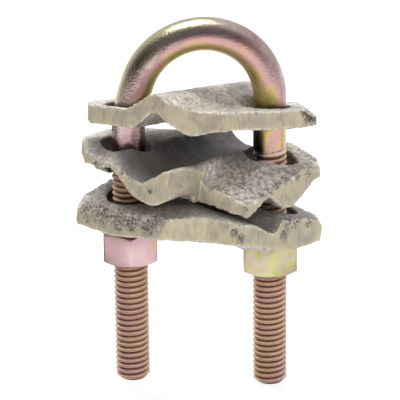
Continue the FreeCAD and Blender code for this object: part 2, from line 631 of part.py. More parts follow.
foot = [("- mid_foot_front", "- mid_foot_front_low"), ("mid_foot_side", "- mid_foot_side_low"),
        ("mid_slant_reach", "- mid_slant_low"), ("mid_slant_reach", "- mid_foot_root"),
        ("- mid_foot_front", "- mid_foot_root")]
for side, backward in (("Right", False), ("Left", True)):
    corners = both_ways(foot) if backward else foot
    feet = new_sketch(middle, side + "FeetSection", "XZ_Plane", turn=LOWER_TURN)
    free_outline(feet, corners)
    pad = middle.newObject("PartDesign::Pad", side + "Feet")
    pad.Profile = feet
    pad.Reversed = backward
    pad.setExpression("Length", cell("mid_reach"))
    doc.recompute()
slope = new_sketch(middle, "LeftArmSection", "YZ_Plane", lift="- mid_back_from")
free_outline(slope, [("mid_back_start", "0"), ("mid_back_end", "- mid_back_low"),
                     ("trim_margin", "- mid_back_low"), ("trim_margin", "trim_margin"),
                     ("mid_back_start", "trim_margin")])
before = middle.Shape.Volume
arm = middle.newObject("PartDesign::Pocket", "LeftArm")
arm.Profile = slope
arm.Type = "ThroughAll"
doc.recompute()
if not middle.Shape.Volume < before:
    raise RuntimeError("the slope behind the left lug was not cut")
slices = []
for place, high, low in (("start", "arm_start_high", "arm_start_low"),
                         ("near", "- arm_near_high", "arm_near_low"),
                         ("far", "- arm_far_high", "arm_far_low")):
    cutter = new_sketch(middle, place.title() + "ArmSection", "XZ_Plane",
                        turn=LOWER_TURN, lift="arm_" + place)
    free_outline(cutter, [("- arm_front", opposite(low)), ("arm_side", high),
                          ("arm_side", "trim_margin"), ("- arm_front", "trim_margin")])
    slices.append(cutter)
before = middle.Shape.Volume
ruled_loft(middle, "SubtractiveLoft", "RightArm", slices)
if not middle.Shape.Volume < before:
    raise RuntimeError("the slope of the arm was not cut")

seat = new_sketch(middle, "MiddleSeatSection", "XZ_Plane", turn=UPPER_TURN)
held_circle(seat, "0", "mid_trough_axis", "mid_trough_radius")
through_pocket(middle, "MiddleSeat", seat)
lip = math.sqrt(size("mid_trough_radius") ** 2 - size("mid_trough_axis") ** 2)
lips = [in_run(sign * lip, 0, UPPER_TURN) for sign in (-1, 1)]
round_edges(middle, "MiddleLips", edges_along(middle.Tip, UPPER_RUN, lips, NEAR),
            "mid_trough_round")
slices = []
for place, heights in (
        ("front", ("- mid_mouth_far_low", "- mid_mouth_side_low", "- mid_mouth_foot_low",
                   "- mid_mouth_toe_low")),
        ("back", ("mid_mouth_far_high", "mid_mouth_side_high", "- mid_mouth_foot_deep",
                  "- mid_mouth_toe_deep"))):
    mouth = new_sketch(middle, place.title() + "MouthSection", "XZ_Plane",
                       turn=UPPER_TURN, lift="mid_mouth_" + place)
    across = ("- mid_mouth_far", "- mid_mouth_side", "- mid_mouth_foot", "mid_mouth_toe")
    free_outline(mouth, list(zip(across, heights)) + [
        ("mid_mouth_end", "- mid_mouth_end_deep"), ("mid_mouth_end", "trim_margin"),
        ("- mid_mouth_far", "trim_margin")])
    slices.append(mouth)
before = middle.Shape.Volume
ruled_loft(middle, "SubtractiveLoft", "MiddleMouth", slices)
if not middle.Shape.Volume < before:
    raise RuntimeError("the mouth of the seat was not cut")
vee_groove(middle, "MiddleGroove", LOWER_TURN,
           [("mid_groove_shift - mid_groove_long", "- mid_groove_foot"),
            ("mid_groove_shift", "- mid_groove_top"),
            ("mid_groove_shift + mid_groove_short", "- mid_groove_foot")], "mid_groove_round")
front = [("- mid_nose_x", "- mid_nose_y"), ("- mid_dip_x", "- mid_dip_y"),
         ("mid_foot_x", "- mid_foot_y")]
back = [(opposite(across), opposite(up)) for across, up in front]
right = [("mid_end_x", "- mid_end_y"), ("mid_end_x", "mid_end_y")]
left = [("- mid_left_x", "mid_back_y"), ("- mid_left_x", "- mid_left_y")]
trim(middle, "MiddleOutline", front + right, back + left)
leg_holes(middle, "MiddleHoles", "mid_play")
middle.setExpression("Placement", "create(<<placement>>; create(<<vector>>; "
                     "-{axis} * sin({lean}); 0; -{axis} * cos({lean})); "
                     "create(<<rotation>>; 0; {lean}; 0))".format(
                         axis=cell("mid_trough_axis"), lean=cell("mid_lean")))

# Bottom plate: an upper side that twists from end to end with the seat for the lower
# conductor in it, and an underside that rises towards the front and the back
bottom = new_body("BottomPlate", "bottom_plate")
raised = [("- blank_half", "low_rim_high"), ("- low_crown", "low_crown_high"),
          ("low_crown", "low_crown_low"), ("blank_half", "low_rim_low"),
          ("blank_half", "0"), ("- blank_half", "0")]
lowered = [("- blank_half", "low_rim_low"), ("- low_crown", "low_crown_low"),
           ("low_crown", "low_crown_high"), ("blank_half", "low_rim_high"),
           ("blank_half", "0"), ("- blank_half", "0")]
skins = []
for end, lift, corners in (("Right", "blank_half", raised), ("Left", "- blank_half", lowered)):
    band = new_sketch(bottom, "Bottom%sSection" % end, "XZ_Plane", turn=LOWER_TURN, lift=lift)
    free_outline(band, corners)
    skins.append(band)
ruled_loft(bottom, "AdditiveLoft", "BottomBlank", skins)
vee_groove(bottom, "BottomSeat", LOWER_TURN,
           [("low_groove_shift - low_groove_long", "low_groove_top"),
            ("low_groove_shift", "low_groove_low"),
            ("low_groove_shift + low_groove_short", "low_groove_top")], "low_groove_round")
rise = new_sketch(bottom, "BottomRiseSection", "YZ_Plane")
slope = [("low_pad_half", "0"), ("low_rise_reach", "low_rise"), ("low_rise_reach", "0")]
free_outline(rise, slope)
free_outline(rise, both_ways(slope))
through_pocket(bottom, "BottomRise", rise)
bevel = new_sketch(bottom, "BottomBevelSection", "XZ_Plane", turn=LOWER_TURN)
slope = [("low_bevel_foot", "low_bevel_foot_z"), ("low_bevel_top", "low_bevel_top_z"),
         ("low_bevel_top", "trim_margin"), ("trim_margin", "trim_margin"),
         ("trim_margin", "low_bevel_foot_z")]
free_outline(bevel, slope)
free_outline(bevel, both_ways(slope))
through_pocket(bottom, "BottomBevel", bevel)
tips = new_sketch(bottom, "BottomTipSection", "XZ_Plane")
slope = [("low_tip_foot", "low_tip_foot_z"), ("low_tip_top", "low_tip_top_z"),
         ("low_tip_top", "trim_margin"), ("trim_margin", "trim_margin"),
         ("trim_margin", "low_tip_foot_z")]
free_outline(tips, slope)
free_outline(tips, both_ways(slope))
through_pocket(bottom, "BottomTips", tips)
trim(bottom, "BottomOutline", [("- low_end_x", "- low_end_y"), ("- low_nose_x", "- low_nose_y"),
                               ("- low_dip_x", "- low_dip_y"), ("low_foot_x", "- low_foot_y"),
                               ("low_end_x", "- low_end_y")])
leg_holes(bottom, "BottomHoles", "low_play")
bottom.setExpression("Placement", "create(<<placement>>; create(<<vector>>; %s; 0; %s); "
                     "create(<<rotation>>; 0; %s; 0))"
                     % (cell("low_seat_x"), cell("low_seat_z"), cell("low_lean")))
doc.recompute()

# Every feature is sound before anything is written
for item in doc.Objects:
    if "Invalid" in item.State or "Error" in item.State:
        raise RuntimeError(item.Name + " failed: " + ", ".join(item.State))
bodies = [item for item in doc.Objects if item.TypeId == "PartDesign::Body"]
for body in bodies:
    shape = body.Shape
    if shape.isNull() or not shape.isValid() or len(shape.Solids) != 1:
        raise RuntimeError(body.Label + " is not one sound solid")
for body in bodies:
    body.Shape.exportStep("parts/%s.step" % body.Label)
    print(body.Label, round(body.Shape.Volume), "mm3", body.Shape.BoundBox)
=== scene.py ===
import math

import bpy
import numpy as np
from mathutils import Euler, Matrix, Quaternion, Vector, noise


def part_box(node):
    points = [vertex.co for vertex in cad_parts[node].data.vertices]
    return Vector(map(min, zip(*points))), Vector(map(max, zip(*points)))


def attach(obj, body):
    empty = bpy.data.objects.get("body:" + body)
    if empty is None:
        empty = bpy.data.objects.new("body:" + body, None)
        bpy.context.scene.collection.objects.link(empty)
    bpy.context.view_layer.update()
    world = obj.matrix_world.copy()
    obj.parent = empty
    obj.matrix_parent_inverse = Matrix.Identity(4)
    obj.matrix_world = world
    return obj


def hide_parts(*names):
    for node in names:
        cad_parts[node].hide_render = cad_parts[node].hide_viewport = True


# Cross connector: three cast bronze plates stacked on a yellow zinc U-bolt.
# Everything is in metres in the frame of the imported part: X from leg to leg,
# Y away from the viewer, Z up, origin on the upper conductor in the middle plate.

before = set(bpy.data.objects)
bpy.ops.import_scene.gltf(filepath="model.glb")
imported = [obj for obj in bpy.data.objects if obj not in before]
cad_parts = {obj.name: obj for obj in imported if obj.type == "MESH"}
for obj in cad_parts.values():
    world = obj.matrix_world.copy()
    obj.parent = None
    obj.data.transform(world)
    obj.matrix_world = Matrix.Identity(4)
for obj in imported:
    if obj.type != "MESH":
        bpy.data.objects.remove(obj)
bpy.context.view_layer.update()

MM = 0.001

# Legs of the U-bolt, left -1 and right 1
LEG_X = 18.9 * MM
ROD_RADIUS = 4.43 * MM
CREST_RADIUS = 4.62 * MM
ROOT_RADIUS = 3.74 * MM
PITCH = 1.5875 * MM
LEG_ENDS = {-1: -69.4 * MM, 1: -73.2 * MM}
THREAD_STARTS = {-1: -5.2 * MM, 1: -5.3 * MM}
RUN_OUT = 1.6 * MM
TIP_CHAMFER = 1.2 * MM
# How fast the chamfered tip widens with height
TIP_SLOPE = 1.1

# The thread from one root to the next: share of the pitch, and radius. Its crest is round
# and wide, as the photograph shows it.
ROOT_FILLET, SHOULDER_DROP, CREST_DROP = 0.07 * MM, 0.17 * MM, 0.04 * MM
THREAD_PROFILE = (
    (0.0, ROOT_RADIUS + ROOT_FILLET), (0.06, ROOT_RADIUS), (0.12, ROOT_RADIUS + ROOT_FILLET),
    (0.34, CREST_RADIUS - SHOULDER_DROP), (0.44, CREST_RADIUS - CREST_DROP),
    (0.54, CREST_RADIUS), (0.64, CREST_RADIUS - CREST_DROP),
    (0.74, CREST_RADIUS - SHOULDER_DROP), (1.0, ROOT_RADIUS + ROOT_FILLET))

# Fineness of the meshes: steps round the rod, its shoulder, its bend and a nut, the gap
# that a bridge closes between rod and thread, and how close points are merged
ROUND_STEPS = 64
SHOULDER_STEPS = 16
BEND_STEPS = 96
NUT_STEPS = 96
SEAM = 0.3 * MM
WELD = 0.002 * MM

# The bend: a slow shoulder out of the left leg, then the main bend into the right leg
BEND_RADIUS = 18.0 * MM
BEND_X = LEG_X - BEND_RADIUS
BEND_Z = 8.73 * MM
SHOULDER_RADIUS = 44.4 * MM
SHOULDER_X = SHOULDER_RADIUS - LEG_X

# Nuts: standard 9/16 in hexagon, and the direction of one corner
ACROSS_FLATS = 14.29 * MM
BORE_RADIUS = 4.66 * MM
BORE_MOUTH = 0.45 * MM
NUT_CHAMFER = math.radians(30)
CORNER_ROUND = 0.3 * MM
RIM_ROUND = 0.12 * MM
NUT_TURNS = {-1: math.radians(-96.7), 1: math.radians(-95.5)}

# Plates: middle of each plate's own frame in millimetres, lean to the right and pitch in
# degrees
PLATES = {
    "top_plate": ((1.0, 0.0, 7.3), 3.55, -9.65),
    "middle_plate": ((-0.546, 0.0, -4.265), 7.3, 0.0),
    "bottom_plate": ((-0.4, 0.0, -28.16), 7.9, 0.0),
}


def half_turn(*corners):
    """Corners and the same corners half a turn round."""
    return corners + tuple((-x, -y) for x, y in corners)


# The outlines that the solids have, in millimetres in each plate's own frame
OUTLINES = {
    "top_plate": half_turn((-30.1, -2.6), (-11.9, -17.2), (-2.7, -14.6), (3.3, -16.6),
                           (22.3, -10.6), (30.1, -3.8)),
    "middle_plate": ((-30.2, -4.4), (-9.0, -25.7), (-0.3, -13.2), (10.9, -24.2), (31.3, -3.3),
                     (31.3, 3.3), (9.0, 25.7), (0.3, 13.2), (-10.9, 24.2), (-30.2, 4.8)),
    "bottom_plate": half_turn((-33.2, -1.6), (-14.5, -20.3), (-1.5, -19.4), (7.8, -26.2),
                              (33.2, -1.6)),
}
# Broken places and pits in the same frame: middle, reach and depth, all in millimetres
SCARS = {
    "top_plate": (((28.2, -5.6, -1.6), 3.4, 2.1), ((26.0, -7.0, -0.6), 1.9, 0.8),
                  ((-1.2, -15.0, 1.2), 1.2, 0.5), ((1.8, -15.8, 0.4), 1.0, 0.5),
                  ((12.6, -14.0, -0.2), 1.1, 0.5)),
    "middle_plate": (((15.6, -18.3, -6.0), 1.5, 0.7), ((17.6, -16.2, -5.5), 1.5, 0.8),
                     ((19.8, -14.2, -5.1), 1.5, 0.8), ((22.2, -11.9, -4.6), 1.4, 0.7),
                     ((24.8, -9.3, -4.0), 1.4, 0.6), ((27.4, -6.9, -3.3), 1.3, 0.5),
                     ((10.6, -23.4, -7.9), 1.2, 0.8), ((-14.5, -20.1, -6.5), 1.0, 0.4),
                     ((-21.5, -13.4, -4.9), 1.1, 0.4), ((-27.4, -6.9, -4.6), 1.4, 0.6)),
    "bottom_plate": (((-31.2, -3.6, 4.6), 3.0, 0.5), ((-27.6, -7.2, 4.9), 3.4, 0.6),
                     ((-23.7, -10.9, 5.2), 3.4, 0.7), ((-20.8, -13.7, 5.6), 3.0, 0.8),
                     ((-17.3, -16.8, 6.4), 2.8, 0.9), ((-15.6, -17.8, 8.4), 2.4, 0.6),
                     ((3.4, -21.4, 9.6), 1.5, 0.7), ((5.2, -23.4, 8.9), 1.7, 0.8),
                     ((6.7, -25.0, 8.0), 1.4, 0.7), ((20.6, -13.8, 6.2), 2.2, 1.5),
                     ((21.8, -12.4, 8.4), 2.4, 0.9), ((24.4, -9.8, 7.6), 1.9, 0.7),
                     ((28.2, -6.2, 6.8), 1.7, 0.6), ((16.2, -8.8, 8.8), 2.4, 0.5)),
}
# A broken place is sunk in full up to this share of its reach, with so ragged a border
SCAR_CORE, SCAR_RAGGED = 0.45, 0.54
# The plates' holes in the same frame, with their rims, in millimetres
HOLE_X, HOLE_REACH = 19.0, 7.4
# Height or depth in millimetres of the forms that worn_shape gives the middle, the top and
# the bottom plate
NOTCH_DENT, RIM_RISE, END_DRAW = 3.4, 2.4, 2.2
TIP_SAG, FOOT_BURR, FRONT_STEP = 2.6, 1.5, 0.7
EDGE_RISE, EDGE_SAG = 2.0, 1.4

# Skin of the castings: width and height of its lumps, width of its pebbles, height of the
# lumps on sheared faces and of the burr round them
LUMP_SIZE, LUMP_RISE = 3.2 * MM, 0.16 * MM
PEBBLE_SIZE = 0.95 * MM
SHEAR_RISE, BURR_RISE = 0.03 * MM, 0.08 * MM

# Widths of the marks on the finishes; a noise texture's scale is one over such a width.
# The real specks and grains are finer than a pixel, so they are drawn as coarse as they
# need to show.
ROD_PATCH, PINK_PATCH, GREEN_PATCH = 11.1 * MM, 7.14 * MM, 4.17 * MM
ZINC_SPECK = 0.4545 * MM
SKIN_CLOUD, SHEAR_PATCH = 6.67 * MM, 3.85 * MM
SAND_GRAIN = 0.667 * MM
SHEAR_STREAK = 0.667 * MM
# How many times as tall as they are wide the streaks are
STREAK_STRETCH = 5.0


def to_linear(hex_colour):
    """sRGB hex to the linear RGBA that a shader socket takes."""
    channels = [int(hex_colour[i:i + 2], 16) / 255 for i in (1, 3, 5)]
    linear = [c / 12.92 if c <= 0.04045 else ((c + 0.055) / 1.055) ** 2.4 for c in channels]
    return (*linear, 1.0)


def deselect():
    """Leave edit mode and select nothing."""
    if bpy.context.object and bpy.context.object.mode != "OBJECT":
        bpy.ops.object.mode_set(mode="OBJECT")
    bpy.ops.object.select_all(action="DESELECT")


def take(obj):
    """Make obj the only selected and active object."""
    deselect()
    obj.select_set(True)
    bpy.context.view_layer.objects.active = obj


def named(name):
    """Name the primitive that was just added, and its mesh."""
    obj = bpy.context.object
    obj.name = obj.data.name = name
    return obj


def settle(obj):
    """Place, turn and size go into the mesh, so the object sits at the origin."""
    take(obj)
    bpy.ops.object.transform_apply(location=True, rotation=True, scale=True)
    return obj


def modify(obj, kind, **settings):
    """Add a modifier, set it and apply it."""
    take(obj)
    modifier = obj.modifiers.new(kind.title(), kind)
    for key, value in settings.items():
        setattr(modifier, key, value)
    bpy.ops.object.modifier_apply(modifier=modifier.name)


def cut_with(obj, tool, operation="DIFFERENCE"):
    """Boolean with a tool that is then thrown away."""
    modify(obj, "BOOLEAN", object=tool, operation=operation, solver="EXACT")
    bpy.data.objects.remove(tool, do_unlink=True)


def join(main, *others):
    """Put the other objects' meshes into the main one."""
    take(main)
    for other in others:
        other.select_set(True)
    bpy.ops.object.join()
    return main


def edit(obj, kind="VERT", action="SELECT"):
    """Open obj for editing, picking by vertex or edge, with all of it picked or none."""
    take(obj)
    bpy.ops.object.mode_set(mode="EDIT")
    bpy.ops.mesh.select_mode(type=kind)
    bpy.ops.mesh.select_all(action=action)


def merged(obj, distance=WELD):
    """Close the seams and turn every face outwards."""
    edit(obj)
    bpy.ops.mesh.remove_doubles(threshold=distance)
    bpy.ops.mesh.normals_make_consistent(inside=False)
    bpy.ops.object.mode_set(mode="OBJECT")
    return obj


def vectors(items, field):
    """One row of three numbers for each item of a mesh."""
    flat = np.empty(len(items) * 3, np.float32)
    items.foreach_get(field, flat)
    return flat.reshape(-1, 3).astype(float)


def places(obj):
    """Where each vertex is."""
    return vectors(obj.data.vertices, "co")


def normals(obj):
    """Which way the surface faces at each vertex."""
    return vectors(obj.data.vertex_normals, "vector")


def move_to(obj, points):
    """Put each vertex at its new place."""
    obj.data.vertices.foreach_set("co", np.ascontiguousarray(points, np.float32).ravel())
    obj.data.update()


def paint(obj, name, values):
    """Store one number per vertex for the material to read."""
    layer = obj.data.attributes.new(name, "FLOAT", "POINT")
    layer.data.foreach_set("value", np.ascontiguousarray(values, np.float32))


def ease(low, high, value):
    """0 below low, 1 above high, smooth between."""
    t = np.clip((value - low) / (high - low), 0.0, 1.0)
    return t * t * (3.0 - 2.0 * t)


def chain(name, points):
    """Line of edges drawn by extruding one vertex from point to point, (x, z)."""
    deselect()
    bpy.ops.mesh.primitive_plane_add(size=MM)
    obj = named(name)
    edit(obj)
    bpy.ops.mesh.merge(type="CENTER")
    x, z = points[0]
    bpy.ops.transform.translate(value=(x, 0, z))
    for (x0, z0), (x1, z1) in zip(points, points[1:]):
        bpy.ops.mesh.extrude_region_move(
            TRANSFORM_OT_translate={"value": (x1 - x0, 0, z1 - z0)})
    bpy.ops.object.mode_set(mode="OBJECT")
    return obj


def turned(name, points, steps=ROUND_STEPS):
    """Shape turned about the upright axis from a half section, (radius, height)."""
    obj = chain(name, points)
    edit(obj)
    bpy.ops.mesh.spin(steps=steps, angle=2 * math.pi, center=(0, 0, 0), axis=(0, 0, 1))
    bpy.ops.object.mode_set(mode="OBJECT")
    return merged(obj)


def plain_rod():
    """Smooth part of the U-bolt: a circle drawn up the left leg, round the bend and down."""
    across = SHOULDER_X - BEND_X
    rise = math.sqrt((SHOULDER_RADIUS - BEND_RADIUS) ** 2 - across ** 2)
    shoulder_z = BEND_Z - rise
    shoulder_angle = math.atan2(rise, across)
    deselect()
    bpy.ops.mesh.primitive_circle_add(
        vertices=ROUND_STEPS, radius=ROD_RADIUS, fill_type="NOTHING",
        location=(-LEG_X, 0, THREAD_STARTS[-1] + SEAM))
    rod = settle(named("rod"))
    edit(rod)
    bpy.ops.mesh.extrude_region_move(
        TRANSFORM_OT_translate={"value": (0, 0, shoulder_z - THREAD_STARTS[-1] - SEAM)})
    bpy.ops.mesh.spin(steps=SHOULDER_STEPS, angle=shoulder_angle,
                      center=(SHOULDER_X, 0, shoulder_z), axis=(0, -1, 0))
    bpy.ops.mesh.spin(steps=BEND_STEPS, angle=math.pi - shoulder_angle,
                      center=(BEND_X, 0, BEND_Z), axis=(0, -1, 0))
    bpy.ops.mesh.extrude_region_move(
        TRANSFORM_OT_translate={"value": (0, 0, THREAD_STARTS[1] + SEAM - BEND_Z)})
    bpy.ops.object.mode_set(mode="OBJECT")
    return rod


def rolled_thread(side):
    """One turn's profile wound up the leg, faded into the rod above and chamfered at the
    tip."""
    end, start = LEG_ENDS[side], THREAD_STARTS[side]
    thread = chain("thread", [(radius, share * PITCH) for share, radius in THREAD_PROFILE])
    # two turns to spare, which are cut off below at the tip and above at the start
    turns = math.ceil((start - end) / PITCH) + 2
    modify(thread, "SCREW", axis="Z", screw_offset=PITCH, iterations=turns,
           steps=ROUND_STEPS, render_steps=ROUND_STEPS, use_merge_vertices=True,
           merge_threshold=WELD)
    thread.location = (side * LEG_X, 0, end - 1.5 * PITCH)
    settle(thread)
    merged(thread)
    edit(thread)
    for height, below in ((end, True), (start, False)):
        bpy.ops.mesh.select_all(action="SELECT")
        bpy.ops.mesh.bisect(plane_co=(0, 0, height), plane_no=(0, 0, 1), threshold=0.001 * MM,
                            clear_inner=below, clear_outer=not below, use_fill=below)
    bpy.ops.object.mode_set(mode="OBJECT")
    points = places(thread)
    offset = points[:, :2] - (side * LEG_X, 0)
    radius = np.hypot(offset[:, 0], offset[:, 1])
    above_tip = points[:, 2] - end
    limit = CREST_RADIUS - TIP_CHAMFER + np.maximum(above_tip, 0) * TIP_SLOPE
    shaped = np.minimum(radius, limit)
    fade = ease(start - RUN_OUT, start, points[:, 2])
    shaped = shaped + (ROD_RADIUS - shaped) * fade
    points[:, :2] = (side * LEG_X, 0) + offset * (shaped / np.maximum(radius, 1e-9))[:, None]
    move_to(thread, points)
    return thread


def bridge(bolt, side):
    """Close the open ring between the rod and one thread."""
    edit(bolt, "EDGE", "DESELECT")
    bpy.ops.mesh.select_non_manifold()
    bpy.ops.object.mode_set(mode="OBJECT")
    for edge in bolt.data.edges:
        edge.select = edge.select and bolt.data.vertices[edge.vertices[0]].co.x * side > 0
    bpy.ops.object.mode_set(mode="EDIT")
    bpy.ops.mesh.bridge_edge_loops()
    bpy.ops.object.mode_set(mode="OBJECT")


def u_bolt():
    """The bent rod and both threads in one closed skin, with what the zinc reads from it."""
    bolt = join(plain_rod(), rolled_thread(-1), rolled_thread(1))
    bolt.name = bolt.data.name = "bent_u_bolt"
    for side in (-1, 1):
        bridge(bolt, side)
    merged(bolt)
    points, facing = places(bolt), normals(bolt)
    x, y, z = points.T / MM
    sign = np.sign(x)
    threaded = ease(-THREAD_STARTS[-1] / MM, (RUN_OUT - THREAD_STARTS[1]) / MM, -z)
    # thread marks: 1 in the roots as painted shade, less on the crests for their reddish film,
    # least on the upper shoulders that face up, as painted highlight
    height = np.hypot(x - sign * LEG_X / MM, y) - ROOT_RADIUS / MM
    root = 1 - ease(0.1, 0.5, height)
    shoulder = ease(0.55, 0.68, height) * (1 - ease(0.74, 0.82, height)) * (facing[:, 2] > 0.2)
    crest_mark, swing = 0.65, 0.35
    paint(bolt, "groove", threaded * (crest_mark + swing * root - swing * shoulder))
    # hue: -1 is pale green, 0 is pink and 1 is gold, so the bend is pale outside and gold
    # inside, its right side and the right leg's sides are more golden, the left leg is pink
    from_bend = points - (0, 0, BEND_Z)
    outward = (facing * from_bend).sum(axis=1) / np.linalg.norm(from_bend, axis=1)
    inward = np.where(z > 0, -outward, -sign * facing[:, 0])
    leg_hue = np.where(sign < 0, 0.15, 0.25 + 0.6 * np.abs(facing[:, 0]))
    bend_hue = inward + 0.75 * ease(8, 19, x)
    paint(bolt, "hue", leg_hue + (bend_hue - leg_hue) * ease(-2, 6, z))
    # painted shade: the legs' inner sides are painted dark between the plates, for the dark
    # plates they mirror and the shade between them
    between = ease(-27, -24, z) * (1 - ease(-2, 3, z))
    paint(bolt, "smut_and_painted_shade", between * ease(0.35, 0.62, inward))
    take(bolt)
    bpy.ops.object.shade_smooth_by_angle(angle=math.radians(32))
    return bolt


def hex_nut(side, node):
    """Hexagon block turned down at both rims, bored, and chamfered at the bore."""
    low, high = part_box(node)
    height = high.z - low.z
    corner = ACROSS_FLATS / math.sqrt(3)
    deselect()
    bpy.ops.mesh.primitive_cylinder_add(vertices=6, radius=corner, depth=height,
                                        location=(0, 0, height / 2))
    nut = settle(named(node.replace("_nut", "_hex_nut")))
    edit(nut, "EDGE", "DESELECT")
    bpy.ops.object.mode_set(mode="OBJECT")
    for edge in nut.data.edges:
        ends = [nut.data.vertices[i].co for i in edge.vertices]
        edge.select = abs(ends[0].z - ends[1].z) > height / 2
    bpy.ops.object.mode_set(mode="EDIT")
    bpy.ops.mesh.bevel(offset=CORNER_ROUND, segments=3, affect="EDGES")
    bpy.ops.object.mode_set(mode="OBJECT")
    flat = ACROSS_FLATS / 2
    outer = corner + MM
    drop = (outer - flat) * math.tan(NUT_CHAMFER)
    blank = turned("turning", [(0, 0), (flat, 0), (outer, drop), (outer, height - drop),
                               (flat, height), (0, height)], steps=NUT_STEPS)
    cut_with(nut, blank, "INTERSECT")
    beyond = 2 * MM
    wide = BORE_RADIUS + BORE_MOUTH + beyond
    bore = turned("bore", [(0, -beyond), (wide, -beyond), (BORE_RADIUS, BORE_MOUTH),
                           (BORE_RADIUS, height - BORE_MOUTH), (wide, height + beyond),
                           (0, height + beyond)])
    cut_with(nut, bore)
    modify(nut, "BEVEL", width=RIM_ROUND, segments=2, limit_method="ANGLE",
           angle_limit=math.radians(28))
    # a primitive hexagon has its first corner on +Y
    nut.rotation_euler.z = NUT_TURNS[side] - math.pi / 2
    nut.location = (side * LEG_X, 0, low.z)
    settle(nut)
    bpy.ops.object.shade_smooth_by_angle(angle=math.radians(25))
    return nut


def plate_matrix(node):
    """From a plate's own frame to the row frame."""
    middle, lean, pitch = PLATES[node]
    leaned = Euler((0, math.radians(lean), 0)).to_matrix()
    pitched = Euler((math.radians(pitch), 0, 0)).to_matrix()
    return Matrix.Translation(Vector(middle) * MM) @ (leaned @ pitched).to_4x4()


def casting(node, name, voxel):
    """A copy of the plate's solid with an even skin of small faces."""
    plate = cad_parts[node].copy()
    plate.data = plate.data.copy()
    plate.parent = None
    bpy.context.collection.objects.link(plate)
    # the copy drops the solid's own marks
    for key in list(plate.keys()):
        del plate[key]
    plate.name = plate.data.name = name
    merged(plate, 0.01 * MM)
    modify(plate, "REMESH", mode="VOXEL", voxel_size=voxel)
    return plate


def roughen(plate, heights):
    """Push the skin out by so many metres at each vertex."""
    move_to(plate, places(plate) + normals(plate) * heights[:, None])


def grain(points, size, seed, octaves):
    """Soft noise, about -1 to 1, with lumps of the given size; each seed takes another
    stretch of it."""
    shift = Vector((seed, 2.7 * seed, -1.3 * seed))
    values = np.empty(len(points))
    for i, point in enumerate(points):
        # each octave is 2.1 times finer than the one before, and fades with the power 0.6
        values[i] = noise.fractal(Vector(point) / size + shift, 0.6, 2.1, octaves)
    return values


def from_outline(node, local):
    """Distance of each point from the plate's sheared outline, seen from above."""
    corners = np.array(OUTLINES[node]) * MM
    nearest = np.full(len(local), np.inf)
    for start, end in zip(corners, np.roll(corners, -1, axis=0)):
        side = end - start
        share = np.clip((local[:, :2] - start) @ side / (side @ side), 0.0, 1.0)
        foot = start + share[:, None] * side
        nearest = np.minimum(nearest, np.hypot(*(local[:, :2] - foot).T))
    return nearest


def spread_out(obj, values, times):
    """Even the values out over neighbouring vertices."""
    edges = np.empty(len(obj.data.edges) * 2, np.int32)
    obj.data.edges.foreach_get("vertices", edges)
    ends = edges.reshape(-1, 2).T
    count = np.maximum(np.bincount(edges, minlength=len(values)), 1)
    for _ in range(times):
        total = sum(np.bincount(a, values[b], len(values)) for a, b in (ends, ends[::-1]))
        values = 0.5 * values + 0.5 * total / count
    return values


def along_and_across(local):
    """Places in millimetres along the upper conductor and across it."""
    x, y = local[:, :2].T / MM
    return (x + y) * math.sqrt(0.5), (x - y) * math.sqrt(0.5)


def hump(value, middle, width):
    """1 in the middle, falling off smoothly on both sides."""
    return np.exp(-((value - middle) / width) ** 2)


def around(local, middle, inner, outer):
    """1 within the inner radius of a place seen from above, 0 beyond the outer radius."""
    x, y = local[:, :2].T / MM
    return 1 - ease(inner, outer, np.hypot(x - middle[0], y - middle[1]))


def worn_shape(node, local):
    """The same points with the forms that casting, shearing and use left on a plate: a dent
    in the notch, raised hole rims and a drawn-out end on the middle one, a torn tip, a burr
    and a step on the top one, and a bent lower edge on the bottom one."""
    x, y, z = local.T / MM
    run, across = along_and_across(local)
    if node == "middle_plate":
        notch = hump(across, 10.6, 2.6) * hump(run, -9.5, 5.5) * ease(-10.5, -5.5, z)
        z = z - NOTCH_DENT * notch
        rims = hump(np.abs(x), 18.0, 6.0) * hump(y, -9.0, 4.5) * ease(-9.0, -6.0, z)
        z = z + RIM_RISE * rims
        x = x + END_DRAW * ease(19.0, 31.0, x)
    if node == "top_plate":
        tip = ease(26.0, 31.0, x) * ease(-4.6, -0.5, z)
        z = z - TIP_SAG * tip
        front = ease(11.0, 15.0, -y)
        foot = hump(x, -4.0, 4.5) * front * (1 - ease(-4.5, -1.5, z))
        z = z - FOOT_BURR * foot
        y = y + FRONT_STEP * ease(5.0, 5.4, x) * (1 - ease(9.0, 18.0, x)) * front
    if node == "bottom_plate":
        under = ease(12.0, 18.0, -y) * (1 - ease(1.5, 5.0, z))
        over_nut = ease(6.0, 9.5, x) * (1 - ease(17.0, 24.0, x))
        z = z + under * (EDGE_RISE * hump(x, -0.5, 5.5) - EDGE_SAG * over_nut)
    return np.stack((x, y, z), axis=1) * MM


def patina_and_shade_marks(node, local):
    """1 where the plate is smooth and painted dark: in the seats, as dark patina and as painted
    shade under the plate above, and round the holes' inner sides as painted shade.
    """
    run, across = along_and_across(local)
    if node == "middle_plate":
        seat = (1 - ease(6.5, 9.5, np.abs(across + 0.5))) * ease(-24.0, -15.0, run)
        mouth = around(local, (-12.0, -8.0), 8.0, 15.0) * (1 - ease(6.0, 9.0, across))
        ledge = 0.7 * around(local, (9.0, -1.0), 5.0, 12.0)
        lug = 0.6 * around(local, (-28.0, -4.0), 4.0, 9.0)
        return np.maximum.reduce((seat, mouth, ledge, lug))
    if node == "bottom_plate":
        seat = 0.55 * (1 - ease(3.0, 8.0, np.abs(run)))
        return np.maximum(seat, 0.5 * around(local, (-14.0, 0.0), 7.0, 13.0))
    return 0.55 * around(local, (13.0, 4.0), 3.0, 9.0)


